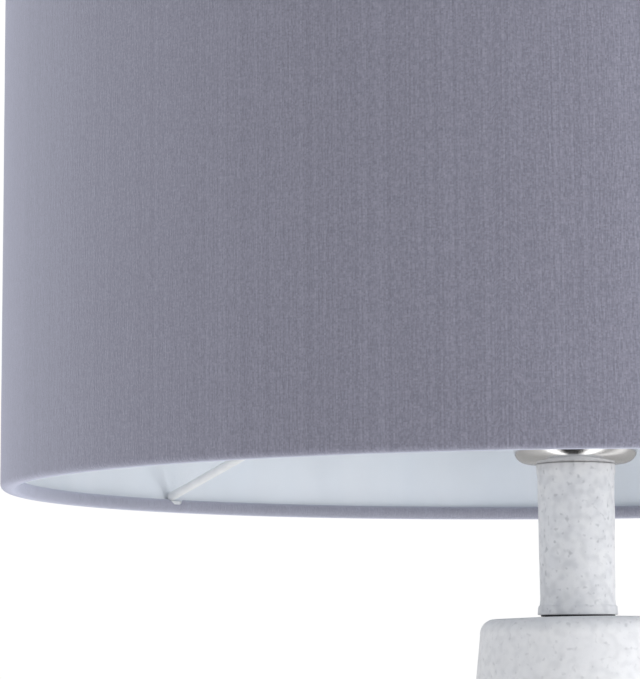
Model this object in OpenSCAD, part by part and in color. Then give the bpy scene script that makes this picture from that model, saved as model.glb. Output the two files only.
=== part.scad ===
/* [Shade] */
// Outer diameter of the drum
shade_d = 350; // [260:5:440]
// Height of the drum from rim to rim
shade_h = 210; // [140:5:280]
// Thickness of the woven cover
cover_t = 0.5; // [0.3:0.1:0.8]
// Thickness of the stiff white lining
lining_t = 0.7; // [0.4:0.1:1.2]
// Diameter of the wire in the rim rings
rim_wire_d = 3.5; // [3:0.5:5]
// Diameter of the wire of the spokes
spoke_d = 3; // [2.5:0.5:4]
// Number of spokes
spoke_n = 3; // [2:1:4]
// Direction of the first spoke about the axis, in degrees
spoke_turn = 145; // [0:5:355]
// Height of the fitter ring's seat above the lower rim
fitter_rise = 59.4; // [40:0.2:90]
// Width of the flat fitter ring
fitter_w = 7.5; // [6:0.5:10]
// Thickness of the fitter ring
fitter_t = 1.6; // [1:0.2:2.4]

/* [Ceramic base] */
// Height of the ceramic body
body_h = 250; // [180:1:320]
// Diameter of the body where its wall would meet its top
body_top_d = 59; // [52:1:80]
// Diameter of the body at the foot
body_foot_d = 106; // [96:1:140]
// Wall of the body
body_wall = 6; // [4:0.5:8]
// Radius of the rounded shoulder
shoulder_r = 4.6; // [3:0.2:8]
// Fall of the top face from the neck to the shoulder
top_fall = 0.4; // [0:0.1:3]
// Height of the recess under the base plate
recess_h = 18; // [16:1:26]
// Thickness of the steel base plate
plate_t = 2; // [1.5:0.5:4]
// Thickness of the felt pad
pad_t = 2; // [1:0.5:4]

/* [Neck] */
// Length of the neck
neck_h = 45.9; // [30:0.1:80]
// Diameter of the neck under its top lip
neck_top_d = 23.4; // [21:0.2:32]
// Diameter of the neck above its foot bead
neck_foot_d = 22.8; // [21:0.2:32]
// How far the foot bead stands out
bead_out = 0.8; // [0.4:0.1:2]
// Height of the foot bead
bead_h = 3; // [2:0.2:6]
// How far the top lip stands out
lip_out = 0.35; // [0:0.05:1]
// Height of the top lip
lip_h = 2.8; // [1:0.2:5]
// Thickness of the dark seal between neck and body
seal_t = 0.5; // [0.3:0.1:2]

/* [Lampholder] */
// Outer diameter of the metal cap
cap_d = 38; // [36:0.5:44]
// Height of the cap
cap_h = 15; // [12:0.5:20]
// Radius of the cap's bottom edge
cap_edge_r = 4.4; // [2:0.2:6]
// Slope of the cap's underside outside the neck, in degrees
cap_slope = 5; // [0:1:16]
// Sheet thickness of the cap and the shell
sheet_t = 0.8; // [0.6:0.1:1.2]
// Height of the whole lampholder
holder_h = 66; // [60:1:76]
// Outer diameter of the shell's thread
shell_d = 39; // [37:0.5:45]
// Height of the fitter ring's seat above the neck
seat_h = 51; // [42:0.2:54]
// Height of the ring that the shade sits on
seat_ring_h = 6.5; // [5:0.5:9]
// Height of the ring that locks the shade
lock_ring_h = 8; // [6:0.5:10]
// Diameter of the locking ring
lock_ring_d = 54; // [48:1:60]
// Diameter of the seat ring
seat_ring_d = 48; // [46:1:54]
// Outer diameter of the hollow threaded rod
rod_d = 10; // [8:0.5:13]
// Wall of the rod
rod_wall = 1.25; // [1:0.05:2]

/* [Bulb] */
// Diameter of the bulb's glass
bulb_d = 60; // [45:1:70]
// Length of the bulb from its contact to its crown
bulb_l = 106; // [95:1:120]
// Diameter over the bulb cap's thread
bulb_cap_d = 26.2; // [25.8:0.1:26.4]
// Depth of the bulb in the socket
bulb_depth = 25; // [22:1:27]
// Wall of the bulb's glass
glass_t = 0.9; // [0.6:0.1:1.5]
// Number of lit filaments in the bulb
filament_n = 4; // [2:1:6]

/* [Cord inlet] */
// Diameter of the hole for the mains cord
inlet_d = 6.5; // [5:0.5:8]

/* [Hidden] */
$fn = 96;
arc_steps = 8;          // chords in a quarter turn of a profile's arc
fit_gap = 0.1;          // radial clearance of what turns or slides
slack = 0.3;            // clearance between pieces that only lie beside each other
touch = 0.02;           // gap between pieces that are welded or glued

// Levels of the stack, from the table up
body_z = pad_t;
body_top_z = body_z + body_h;
neck_z = body_top_z + seal_t;
cap_z = neck_z + neck_h;
seat_z = cap_z + seat_h;
rim_z = seat_z - fitter_rise;
plate_z = body_z + recess_h;
holder_top_z = cap_z + holder_h;

// Radii of the drum, from the outside in
shade_r = shade_d / 2;
lining_r = shade_r - cover_t;
lining_in_r = lining_r - lining_t;
rim_wire_r = rim_wire_d / 2;
wire_ring_r = lining_in_r - slack - rim_wire_r;
wire_up = cover_t + slack / 3 + rim_wire_r;     // height of the rim wire's middle above the rim
hem_r = rim_wire_r + slack / 3;                 // inner radius of the hem's roll
hem_end = 132;                                  // where the tucked edge ends, in degrees round the wire
fitter_in_r = shell_d / 2 + 1.1;
fitter_out_r = fitter_in_r + fitter_w;

// Ceramic
ledge_w = 6;
plate_r = body_foot_d / 2 - 9.5;
hole_r = rod_d / 2 + slack;
lean = (body_foot_d - body_top_d) / 2 / body_h;  // how much the wall's radius grows per mm down
foot_round = 3;
top_wall = 8;
neck_bead_r = neck_foot_d / 2 + bead_out;

// Rod, nut and washers
nut_h = 5;
nut_d = 17;
lock_washer_t = 1.6;
washer_t = 1.5;
washer_d = 34;
rod_z = plate_z - washer_t - lock_washer_t - nut_h;
boss_h = 8;
boss_r = rod_d / 2 + 3;
grub_r = 1.5;
rod_top_z = cap_z + sheet_t + boss_h;

// Cord inlet
inlet_z = body_z + recess_h / 2;
bush_r = inlet_d / 2 + 1.3;
bush_flange_r = bush_r + 1.9;
bush_flange_t = 1.4;
foot_flat_y = outer_r(inlet_z + bush_flange_r) - 0.6;

// Inside of the lampholder
cap_r = cap_d / 2;
cap_in_r = cap_r - sheet_t;
shell_r = shell_d / 2;
seat_ring_r = seat_ring_d / 2;
plug_h = 5;                 // how far the shell plugs into the cap
lip_t = 1.4;
thread_wall = 1.6;          // wall of the shell over the crests of its thread
insert_z = cap_z + 14;
insert_h = 22;
insert_r = cap_in_r - sheet_t - 2 * slack;
socket_z = insert_z + insert_h;
socket_r = bulb_cap_d / 2 + 0.35;
socket_t = 0.5;
mouth_r = socket_r + 1.2;
bulb_z = holder_top_z - bulb_depth;      // the bulb's contact at rest
glass_neck_z = holder_top_z + 2.6;
glass_neck_r = 13.5;
seal_r = 12;
skirt_a = -38;               // where the globe meets its neck, in degrees below its middle
stem_r = 4;
stem_z = bulb_z + 24;
filament_z = glass_neck_z + 16;
filament_l = 34;
filament_ring_r = 6;
disc_t = 0.8;
contact_gap = 0.05;
contact_h = 1.2;
contact_travel = 1;
slot_depth = 5;
tongue_w = 6;
tongue_l = 10;
tongue_t = 0.6;

// Points of an arc about c, from angle a to angle b
function arc(c, r, a, b, n = arc_steps) = [for (i = [0:n]) let (t = a + (b - a) * i / n) c + r * [cos(t), sin(t)]];
// Radius of the body's outer wall at height z
function outer_r(z) = body_top_d / 2 + lean * (body_top_z - z);
// The same points upside down about height z, in the other order
function flipped(points, z) = [for (i = [len(points) - 1:-1:0]) [points[i].x, 2 * z - points[i].y]];

module ring(r_in, r_out, z0, z1) {
    translate([0, 0, z0]) rotate_extrude() translate([r_in, 0]) square([r_out - r_in, z1 - z0]);
}

// ---------- ceramic base ----------

module base_body() {
    wall_in = body_wall / cos(atan(lean));
    shoulder_c = [outer_r(body_top_z - top_fall - shoulder_r) - shoulder_r, body_top_z - top_fall - shoulder_r];
    foot_c = [outer_r(body_z) - foot_round, body_z + foot_round];
    ledge_z = plate_z + plate_t;
    in_top_z = body_top_z - top_wall;
    outline = concat(
        [[hole_r, body_top_z], [neck_bead_r, body_top_z]],
        arc(shoulder_c, shoulder_r, 88, -atan(lean)),
        arc(foot_c, foot_round, -atan(lean), -90, 4),
        [[plate_r + slack, body_z], [plate_r + slack, ledge_z], [plate_r - ledge_w, ledge_z],
         [plate_r - ledge_w, ledge_z + 5], [outer_r(ledge_z + 14) - wall_in, ledge_z + 14]],
        arc([outer_r(in_top_z - 6) - wall_in - 6, in_top_z - 6], 6, 0, 90, 4),
        [[hole_r, in_top_z]]);
    color("whitesmoke") difference() {
        rotate_extrude() polygon(outline);
        translate([0, plate_r - 1, inlet_z]) rotate([-90, 0, 0]) cylinder(h = 20, r = bush_r + touch);
        translate([0, foot_flat_y, inlet_z]) rotate([-90, 0, 0]) cylinder(h = 20, r = bush_flange_r + slack);
    }
}

module felt_pad() {
    color("dimgray") cylinder(h = pad_t, r = body_foot_d / 2 - foot_round);
}

module base_plate() {
    color("silver") ring(hole_r, plate_r, plate_z, plate_z + plate_t);
}

module flat_washer() {
    color("silver") ring(rod_d / 2 + fit_gap, washer_d / 2, plate_z - washer_t, plate_z);
}

// A split washer, open by a narrow slot
module spring_washer() {
    color("gray") difference() {
        ring(rod_d / 2 + fit_gap, nut_d / 2 - 0.6, plate_z - washer_t - lock_washer_t, plate_z - washer_t);
        translate([0, -0.6, rod_z + nut_h - 1]) cube([nut_d, 1.2, lock_washer_t + 2]);
    }
}

module base_nut() {
    color("silver") translate([0, 0, rod_z]) difference() {
        cylinder(h = nut_h, r = nut_d / 2 / cos(30), $fn = 6);
        translate([0, 0, -1]) cylinder(h = nut_h + 2, r = rod_d / 2 + touch);
    }
}

module threaded_rod() {
    color("silver") ring(rod_d / 2 - rod_wall, rod_d / 2, rod_z, rod_top_z);
}

// Rubber bush in the foot, where the mains cord goes in
module cord_inlet_bush() {
    color("black") translate([0, 0, inlet_z]) rotate([-90, 0, 0]) difference() {
        union() {
            translate([0, 0, plate_r + 1]) cylinder(h = foot_flat_y + bush_flange_t - plate_r - 1, r = bush_r);
            translate([0, 0, foot_flat_y]) cylinder(h = bush_flange_t, r = bush_flange_r);
        }
        translate([0, 0, plate_r]) cylinder(h = 20, r = inlet_d / 2);
    }
}

// ---------- neck ----------

module neck_seal() {
    color("black") ring(hole_r, neck_bead_r - 0.9, body_top_z, neck_z);
}

module neck() {
    top_r = neck_top_d / 2;
    foot_r = neck_foot_d / 2;
    edge = 0.9;
    foot_edge = 0.3;
    outline = concat(
        [[hole_r, neck_z]],
        arc([neck_bead_r - foot_edge, neck_z + foot_edge], foot_edge, -90, 0, 4),
        arc([neck_bead_r - foot_edge / 2 - edge, neck_z + bead_h - edge], edge, 0, 60, 4),
        [[foot_r, neck_z + bead_h + 0.6], [top_r, cap_z - lip_h - 0.6], [top_r + lip_out, cap_z - lip_h]],
        arc([top_r + lip_out - edge, cap_z - edge], edge, 0, 90, 4),
        [[hole_r, cap_z]]);
    color("whitesmoke") rotate_extrude() polygon(outline);
}

// ---------- lampholder ----------

// Drawn metal cup with a threaded boss for the rod. Outside the neck its underside slopes up.
module holder_cap() {
    slope_r = neck_top_d / 2 + lip_out;
    slope_l = (cap_r - cap_edge_r - slope_r + cap_edge_r * sin(cap_slope)) / cos(cap_slope);
    edge_c = [cap_r - cap_edge_r, cap_z + slope_l * sin(cap_slope) + cap_edge_r * cos(cap_slope)];
    outline = concat(
        [[rod_d / 2 + touch, cap_z], [slope_r, cap_z]],
        arc(edge_c, cap_edge_r, cap_slope - 90, 0),
        [[cap_r, cap_z + cap_h], [cap_in_r, cap_z + cap_h]],
        arc(edge_c, cap_edge_r - sheet_t, 0, cap_slope - 90),
        [[slope_r, cap_z + sheet_t], [boss_r, cap_z + sheet_t], [boss_r, cap_z + sheet_t + boss_h],
         [rod_d / 2 + touch, cap_z + sheet_t + boss_h]]);
    color("silver") difference() {
        rotate_extrude() polygon(outline);
        translate([0, 0, cap_z + sheet_t + boss_h / 2]) rotate([0, 90, 0]) cylinder(h = boss_r + 1, r = grub_r + touch);
    }
}

module cap_grub_screw() {
    color("gray") translate([rod_d / 2 + touch, 0, cap_z + sheet_t + boss_h / 2]) rotate([0, 90, 0]) difference() {
        cylinder(h = boss_r - rod_d / 2 + 1, r = grub_r);
        translate([-0.3, -2, boss_r - rod_d / 2]) cube([0.6, 4, 2]);
    }
}

// Threaded metal sleeve that plugs into the cap and closes in to a lip at its mouth
module holder_shell() {
    plug_r = cap_in_r - fit_gap;
    outline = [
        [plug_r - sheet_t, cap_z + cap_h - plug_h], [plug_r, cap_z + cap_h - plug_h], [plug_r, cap_z + cap_h],
        [shell_r, cap_z + cap_h], [shell_r, holder_top_z - sheet_t], [shell_r - sheet_t, holder_top_z],
        [mouth_r, holder_top_z], [mouth_r, holder_top_z - lip_t], [shell_r - thread_wall, holder_top_z - lip_t],
        [shell_r - thread_wall, cap_z + cap_h + lip_t], [plug_r - sheet_t, cap_z + cap_h + lip_t]];
    color("silver") rotate_extrude() polygon(outline);
}

// White porcelain block that carries the contacts, with a well under the socket
module socket_insert() {
    color("ivory") difference() {
        ring(rod_d / 2, insert_r, insert_z, socket_z);
        for (side = [-1, 1]) translate([side * 11, 0, insert_z - 1]) cylinder(h = 7, r = 1.6 + touch);
        translate([-tongue_w / 2 - 1, -tongue_l - 2, socket_z - slot_depth])
            cube([tongue_w + 2, tongue_l, slot_depth + 1]);
    }
}

// Porcelain sleeve round the screw shell
module socket_sleeve() {
    color("ivory") ring(socket_r + socket_t + touch, insert_r, socket_z, holder_top_z - lip_t - touch);
}

module screw_shell() {
    color("gold") ring(socket_r, socket_r + socket_t, socket_z, holder_top_z - 4);
}

module terminal_screws() {
    color("gold") for (side = [-1, 1]) translate([side * 11, 0, insert_z]) {
        cylinder(h = 5, r = 1.6);
        translate([0, 0, -1.6]) difference() {
            cylinder(h = 1.6, r = 2.8);
            translate([-4, -0.4, -1]) cube([8, 0.8, 1.6]);
        }
    }
}

// Sprung tongue: its foot stands in the slot of the insert and its pad presses on the bulb's contact
module centre_contact() {
    pad_z = bulb_z - contact_gap - contact_h;
    foot_z = socket_z - slot_depth + contact_travel + slack;
    color("gold") {
        translate([0, 0, pad_z]) cylinder(h = contact_h, r = 3.6);
        translate([-tongue_w / 2, -tongue_l, pad_z - tongue_t]) cube([tongue_w, tongue_l, tongue_t]);
        translate([-tongue_w / 2, -tongue_l, foot_z]) cube([tongue_w, tongue_t, pad_z - foot_z]);
    }
}

// Threaded ring whose bore is rounded off outside; grips are cut round its rim
module grip_ring(z0, h, r_out, grips) {
    bore = shell_r + fit_gap;
    edge = 1;
    outline = concat([[bore, z0]], arc([r_out - edge, z0 + edge], edge, -90, 0, 3),
        arc([r_out - edge, z0 + h - edge], edge, 0, 90, 3), [[bore, z0 + h]]);
    difference() {
        rotate_extrude() polygon(outline);
        for (i = [0:grips - 1]) rotate([0, 0, i * 360 / grips])
            translate([r_out + 1.3, 0, z0 - 1]) cylinder(h = h + 2, r = 2, $fn = 24);
    }
}

module seat_ring() {
    color("silver") grip_ring(seat_z - seat_ring_h - touch, seat_ring_h, seat_ring_r, 12);
}

module lock_ring() {
    color("silver") grip_ring(seat_z + fitter_t + touch, lock_ring_h, lock_ring_d / 2, 18);
}

// ---------- shade ----------

module fitter_ring() {
    color("white") ring(fitter_in_r, fitter_out_r, seat_z, seat_z + fitter_t);
}

// Straight wires welded on the lower rim ring and under the fitter ring
module fitter_spokes() {
    spoke_r = spoke_d / 2;
    weld = rim_wire_r + spoke_r + touch;
    end = [fitter_out_r - spoke_r, seat_z - spoke_r - touch];
    tilt = atan2(end.y - rim_z - wire_up - weld, wire_ring_r - end.x);
    start = [wire_ring_r, rim_z + wire_up] + weld * [sin(tilt), cos(tilt)];
    run = end - start;
    color("white") for (i = [0:spoke_n - 1]) rotate([0, 0, spoke_turn + i * 360 / spoke_n])
        translate([start.x, 0, start.y]) rotate([0, atan2(run.x, run.y), 0])
            cylinder(h = norm(run), r = spoke_r, $fn = 24);
}

module rim_ring(z) {
    color("white") translate([0, 0, z]) rotate_extrude() translate([wire_ring_r, 0]) circle(r = rim_wire_r, $fn = 32);
}

module shade_lining() {
    color("white") ring(lining_in_r, lining_r - touch, rim_z + cover_t + touch, rim_z + shade_h - cover_t - touch);
}

// One strip of cloth round the lining, turned over each rim ring and tucked in behind it
module shade_cover() {
    mid = rim_z + shade_h / 2;
    wire_c = [wire_ring_r, rim_z + wire_up];
    corner = 0.6;
    under = concat(
        [[lining_r, rim_z + cover_t], [wire_c.x, rim_z + cover_t]],
        arc(wire_c, hem_r, 270, hem_end),
        arc(wire_c, hem_r + cover_t, hem_end, 270),
        arc([shade_r - corner, rim_z + corner], corner, 270, 360, 4));
    color("slategray") difference() {
        rotate_extrude() polygon(concat(under, flipped(under, mid)));
        for (i = [0:spoke_n - 1]) rotate([0, 0, spoke_turn + i * 360 / spoke_n])
            translate([wire_ring_r - hem_r - cover_t - 1, -spoke_d / 2 - slack, rim_z + wire_up + 0.4])
                cube([hem_r + cover_t + 1 + spoke_d / 2, spoke_d + 2 * slack, hem_r + cover_t]);
    }
}

// ---------- bulb ----------

// Radius of the globe's neck at a share t of the way from its cap up to the globe
function neck_swell(t) = 0.45 * t * t * (3 - 2 * t) + 0.55 * t * t;

// Outline of the glass, drawn in by the given amount
function glass_outline(in) = let (
        r = bulb_d / 2,
        globe = [0, bulb_z + bulb_l - r],
        skirt = globe + r * [cos(skirt_a), sin(skirt_a)],
        low = glass_neck_z + 4)
    concat([[glass_neck_r - in, glass_neck_z]],
        [for (t = [0:1 / 8:1]) [glass_neck_r - in + (skirt.x - glass_neck_r) * neck_swell(t), low + (skirt.y - low) * t]],
        arc(globe, r - in, skirt_a + 6, 90, 20));

// Opal globe that narrows to a neck in the cap
module bulb_glass() {
    color("white") rotate_extrude() polygon(concat(
        [[stem_r + touch, glass_neck_z], [stem_r + touch, bulb_z + 22], [seal_r, bulb_z + 22], [seal_r, glass_neck_z]],
        glass_outline(0),
        [for (i = [len(glass_outline(glass_t)) - 1:-1:1]) glass_outline(glass_t)[i]],
        [[glass_neck_r - glass_t, glass_neck_z + glass_t], [stem_r + touch, glass_neck_z + glass_t]]));
}

// Glass stem with a thin rod and two small discs, which hold the filaments by their ends
module bulb_stem() {
    color("lightcyan") {
        translate([0, 0, stem_z]) cylinder(h = filament_z - stem_z, r = stem_r);
        translate([0, 0, filament_z - disc_t]) cylinder(h = disc_t, r = filament_ring_r + 2);
        translate([0, 0, filament_z - disc_t]) cylinder(h = filament_l + 2 * disc_t, r = 1);
        translate([0, 0, filament_z + filament_l]) cylinder(h = disc_t, r = filament_ring_r + 2);
    }
}

module bulb_filaments() {
    color("khaki") for (i = [0:filament_n - 1]) rotate([0, 0, i * 360 / filament_n])
        translate([filament_ring_r, 0, filament_z + touch]) cylinder(h = filament_l - 2 * touch, r = 0.8, $fn = 24);
}

module bulb_cap() {
    color("lightgray") ring(seal_r + touch, bulb_cap_d / 2, bulb_z + 6, glass_neck_z - touch);
}

module bulb_insulator() {
    color("black") translate([0, 0, bulb_z + 1.5]) rotate_extrude()
        polygon([[0, 0], [5, 0], [bulb_cap_d / 2 - 2, 4.4], [0, 4.4]]);
}

module bulb_contact() {
    color("silver") translate([0, 0, bulb_z]) cylinder(h = 1.5 - touch, r1 = 3.6, r2 = 4.6);
}

base_body();
felt_pad();
base_plate();
flat_washer();
spring_washer();
base_nut();
threaded_rod();
cord_inlet_bush();
neck_seal();
neck();
holder_cap();
cap_grub_screw();
holder_shell();
socket_insert();
socket_sleeve();
screw_shell();
terminal_screws();
centre_contact();
seat_ring();
lock_ring();
fitter_ring();
fitter_spokes();
rim_ring(rim_z + wire_up);  // lower_rim_ring
rim_ring(rim_z + shade_h - wire_up);  // upper_rim_ring
shade_lining();
shade_cover();
bulb_glass();
bulb_stem();
bulb_filaments();
bulb_cap();
bulb_insulator();
bulb_contact();
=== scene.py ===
import math

import bpy
from mathutils import Matrix, Vector, noise


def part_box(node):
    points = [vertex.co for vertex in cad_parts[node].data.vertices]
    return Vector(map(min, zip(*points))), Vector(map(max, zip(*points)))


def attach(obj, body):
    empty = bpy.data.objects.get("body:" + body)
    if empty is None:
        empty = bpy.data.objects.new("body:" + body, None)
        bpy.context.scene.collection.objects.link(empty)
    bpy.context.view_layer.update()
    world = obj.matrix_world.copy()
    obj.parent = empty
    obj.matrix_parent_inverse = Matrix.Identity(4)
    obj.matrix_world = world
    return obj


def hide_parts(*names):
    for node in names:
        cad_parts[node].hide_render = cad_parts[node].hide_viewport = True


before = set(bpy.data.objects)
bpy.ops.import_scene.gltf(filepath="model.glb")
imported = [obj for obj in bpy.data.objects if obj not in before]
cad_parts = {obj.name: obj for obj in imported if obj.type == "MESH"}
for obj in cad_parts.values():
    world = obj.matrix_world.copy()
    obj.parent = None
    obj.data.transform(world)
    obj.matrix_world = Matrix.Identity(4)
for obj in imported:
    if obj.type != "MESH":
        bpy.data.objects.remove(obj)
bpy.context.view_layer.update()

MM = 0.001

# ---------------------------------------------------------------------------
# Camera: a long lens set a little below the shade's lower rim, close to the lamp
# and turned to the left of it, so that it looks up across the rim to the neck.
# ---------------------------------------------------------------------------
rim_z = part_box("shade_cover")[0].z
camera_below_rim = 0.0460
camera_distance = 0.7773
look_left = math.radians(5.776)
look_up = math.radians(6.879)
roll = math.radians(-0.246)
lens_mm = 133.83
sensor_mm = 36

ahead = Vector((-math.sin(look_left) * math.cos(look_up), math.cos(look_left) * math.cos(look_up), math.sin(look_up)))
level_right = Vector((math.cos(look_left), math.sin(look_left), 0))
straight_up = level_right.cross(ahead)
camera_right = level_right * math.cos(roll) + straight_up * math.sin(roll)
camera_up = straight_up * math.cos(roll) - level_right * math.sin(roll)
camera_data = bpy.data.cameras.new("camera")
camera_data.lens = lens_mm
camera_data.sensor_width = sensor_mm
camera_data.clip_start = 0.05
camera_data.clip_end = 100
camera = bpy.data.objects.new("camera", camera_data)
bpy.context.collection.objects.link(camera)
camera.matrix_world = Matrix.Translation((0, -camera_distance, rim_z - camera_below_rim)) @ Matrix(
    (camera_right, camera_up, -ahead)).transposed().to_4x4()
bpy.context.scene.camera = camera

# ---------------------------------------------------------------------------
# Base body: a tall hollow cone slip-cast in stoneware, with a soft shoulder and an
# open foot. It is fired matt, so the clay's own grey specks show in the off-white.
# ---------------------------------------------------------------------------


def arc(centre, radius, start, end, steps=8):
    """Points (r, z) of an arc about centre, from start to end in degrees."""
    turns = [math.radians(start + (end - start) * i / steps) for i in range(steps + 1)]
    return [(centre[0] + radius * math.cos(t), centre[1] + radius * math.sin(t)) for t in turns]


def split(a, b, steps):
    """Points from a to b, without b."""
    return [(a[0] + (b[0] - a[0]) * i / steps, a[1] + (b[1] - a[1]) * i / steps) for i in range(steps)]


def mesh_piece(name, points, faces, crease=35):
    """A mesh with smooth faces, and sharp edges where they meet at more than the crease."""
    mesh = bpy.data.meshes.new(name)
    mesh.from_pydata(points, [], faces)
    mesh.validate()
    mesh.shade_smooth()
    mesh.set_sharp_from_angle(angle=math.radians(crease))
    piece = bpy.data.objects.new(name, mesh)
    bpy.context.collection.objects.link(piece)
    return piece


def turned(name, outline, around=192, change=None, crease=35):
    """A closed outline of points (r, z), anticlockwise, turned round Z. change(r, z, angle) shifts each point."""
    points, faces, rows = [], [], []
    for r, z in outline:
        if r < 1e-7:
            rows.append([len(points)] * around)
            points.append((0, 0, z))
            continue
        rows.append(range(len(points), len(points) + around))
        for i in range(around):
            angle = 2 * math.pi * i / around
            r2, z2 = change(r, z, angle) if change else (r, z)
            points.append((r2 * math.cos(angle), r2 * math.sin(angle), z2))
    for j, low in enumerate(rows):
        high = rows[(j + 1) % len(rows)]
        for i in range(around):
            k = (i + 1) % around
            corners = [low[i], low[k], high[k], high[i]]
            face = [c for n, c in enumerate(corners) if c != corners[n - 1]]
            if len(set(face)) > 2:
                faces.append(face)
    return mesh_piece(name, points, faces, crease)


def material(name, colour, roughness, **sockets):
    """A Principled material; returns it with its nodes, its links and its shader."""
    made = bpy.data.materials.new(name)
    made.use_nodes = True
    nodes, links = made.node_tree.nodes, made.node_tree.links
    shader = nodes["Principled BSDF"]
    shader.inputs["Base Color"].default_value = (*colour, 1)
    shader.inputs["Roughness"].default_value = roughness
    for socket, value in sockets.items():
        shader.inputs[socket.replace("_", " ")].default_value = value
    return made, nodes, links, shader


def node(nodes, kind, **settings):
    """A new node; a setting that names an input sets that input, and any other sets the node."""
    made = nodes.new(kind)
    for key, value in settings.items():
        title = key.replace("_", " ").title()
        if title in made.inputs:
            made.inputs[title].default_value = value
        else:
            setattr(made, key, value)
    return made


def place(nodes, links, stretch=(1, 1, 1)):
    """Coordinates in the lamp's own frame, in mm, stretched along each axis."""
    where = nodes.new("ShaderNodeTexCoord")
    scale = node(nodes, "ShaderNodeMapping", scale=[1000 * s for s in stretch])
    links.new(where.outputs["Object"], scale.inputs["Vector"])
    return scale.outputs["Vector"]


def spread_out(nodes, links, value, low, high, bottom=0.0, top=1.0, way="SMOOTHSTEP"):
    """A value taken from low and high to bottom and top, and held there outside them."""
    spread = node(nodes, "ShaderNodeMapRange", interpolation_type=way)
    for socket, number in zip(("From Min", "From Max", "To Min", "To Max"), (low, high, bottom, top)):
        spread.inputs[socket].default_value = number
    links.new(value, spread.inputs["Value"])
    return spread.outputs["Result"]


def speckle_field(nodes, links, where, size, low, high, detail=2.0):
    """Noise with features about size mm across, spread from 0 at low to 1 at high."""
    cloud = node(nodes, "ShaderNodeTexNoise", scale=1 / size, detail=detail, roughness=0.55)
    links.new(where, cloud.inputs["Vector"])
    return spread_out(nodes, links, cloud.outputs["Fac"], low, high)


def tint(nodes, links, share, below, above, strength=1.0):
    """below where share is 0 and above where it is 1, by the strength. Either may be a socket or a colour."""
    mix = node(nodes, "ShaderNodeMix", data_type="RGBA")
    if strength != 1.0:
        scaled = node(nodes, "ShaderNodeMath", operation="MULTIPLY")
        scaled.inputs[1].default_value = strength
        links.new(share, scaled.inputs[0])
        share = scaled.outputs[0]
    links.new(share, mix.inputs[0])
    for socket, colour in ((mix.inputs[6], below), (mix.inputs[7], above)):
        if isinstance(colour, bpy.types.NodeSocket):
            links.new(colour, socket)
        else:
            socket.default_value = (*colour, 1)
    return mix.outputs[2]


def layered(nodes, links, shader, colour, *layers):
    """Gives the shader a colour with others laid over it, each with the field and the strength that it shows by."""
    for field, over, strength in layers:
        colour = tint(nodes, links, field, colour, over, strength)
    links.new(colour, shader.inputs["Base Color"])


def relief(nodes, links, shader, height, depth, under=None):
    """Bump of the given depth in mm from a height of 0 to 1, on top of another bump."""
    bump = node(nodes, "ShaderNodeBump", strength=1.0)
    bump.inputs["Distance"].default_value = depth * MM
    links.new(height, bump.inputs["Height"])
    if under:
        links.new(under, bump.inputs["Normal"])
    links.new(bump.outputs["Normal"], shader.inputs["Normal"])
    return bump.outputs["Normal"]


def speckled_clay(name, speckled):
    """Matt off-white stoneware with soft grey specks, as strong as speckled, and a faint cloudiness."""
    made, nodes, links, shader = material(name, (0.8, 0.8, 0.81), 0.62, Specular_IOR_Level=0.35)
    where = place(nodes, links)
    cloudy = speckle_field(nodes, links, where, 16, 0.35, 0.7)
    mottle = speckle_field(nodes, links, where, 5.5, 0.35, 0.65, 1.0)
    blotches = speckle_field(nodes, links, where, 2.4, 0.38, 0.78, 0.5)
    specks = speckle_field(nodes, links, where, 1.5, 0.62, 0.82, 0.5)
    grains = speckle_field(nodes, links, where, 0.7, 0.60, 0.80, 1.0)
    layered(nodes, links, shader, tint(nodes, links, cloudy, (0.748, 0.750, 0.766), (0.772, 0.773, 0.783)),
            (mottle, (0.70, 0.705, 0.73), 0.6 * speckled), (blotches, (0.50, 0.505, 0.53), 0.42 * speckled),
            (grains, (0.56, 0.565, 0.58), 0.15 * speckled), (specks, (0.34, 0.345, 0.37), 0.5 * speckled))
    lumps = speckle_field(nodes, links, where, 3.5, 0.2, 0.8)
    grit = speckle_field(nodes, links, where, 0.35, 0.2, 0.8)
    under = relief(nodes, links, shader, lumps, 0.10)
    relief(nodes, links, shader, grit, 0.018, under)
    return made


def hand_made(r, z, angle):
    """The slight unevenness of a cast pot: a wall a tenth of a mm out of true, and a top that leans a little."""
    x, y = r * math.cos(angle), r * math.sin(angle)
    slow = noise.noise(Vector((x, y, z)) / 0.021)
    quick = noise.noise(Vector((x, y, z)) / 0.006 + Vector((3, 7, 5)))
    leaning = min(1, max(0, (z - lean_from) / (top_z - lean_from)))
    return r + (0.14 * slow + 0.05 * quick) * MM, z + top_lean * x * leaning


def fit(piece, body, slot, finish, *nodes_replaced):
    """Gives a piece its body, its finish and the CAD nodes that it stands for."""
    piece.data.materials.clear()
    piece.data.materials.append(finish)
    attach(piece, body)
    if nodes_replaced:
        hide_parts(*nodes_replaced)
    return piece


body_clay = speckled_clay("speckled_clay", 0.62)
low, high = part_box("base_body")
foot_z, top_z = low.z, high.z
foot_r = high.x
top_corner_r = 29.5 * MM
lean = (foot_r - top_corner_r) / (top_z - foot_z)
tilt = math.degrees(math.atan(lean))
shoulder_r = 4.6 * MM
top_fall = 0.4 * MM
wall = 6 * MM
top_wall = 8 * MM
foot_round = 3 * MM
rod_hole_r = 5.3 * MM
neck_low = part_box("neck")[0].z
neck_foot_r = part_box("neck")[1].x
plate_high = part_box("base_plate")[1]
recess_r = plate_high.x + 0.3 * MM
lean_from = top_z - 40 * MM
top_lean = 0.012
inner_round = 6 * MM
ledge_rise = 14 * MM
ledge_w = 6.3 * MM
ledge_lip = 5 * MM


def outer_r(z):
    """The outer wall's radius at a height."""
    return top_corner_r + lean * (top_z - z)


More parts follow.
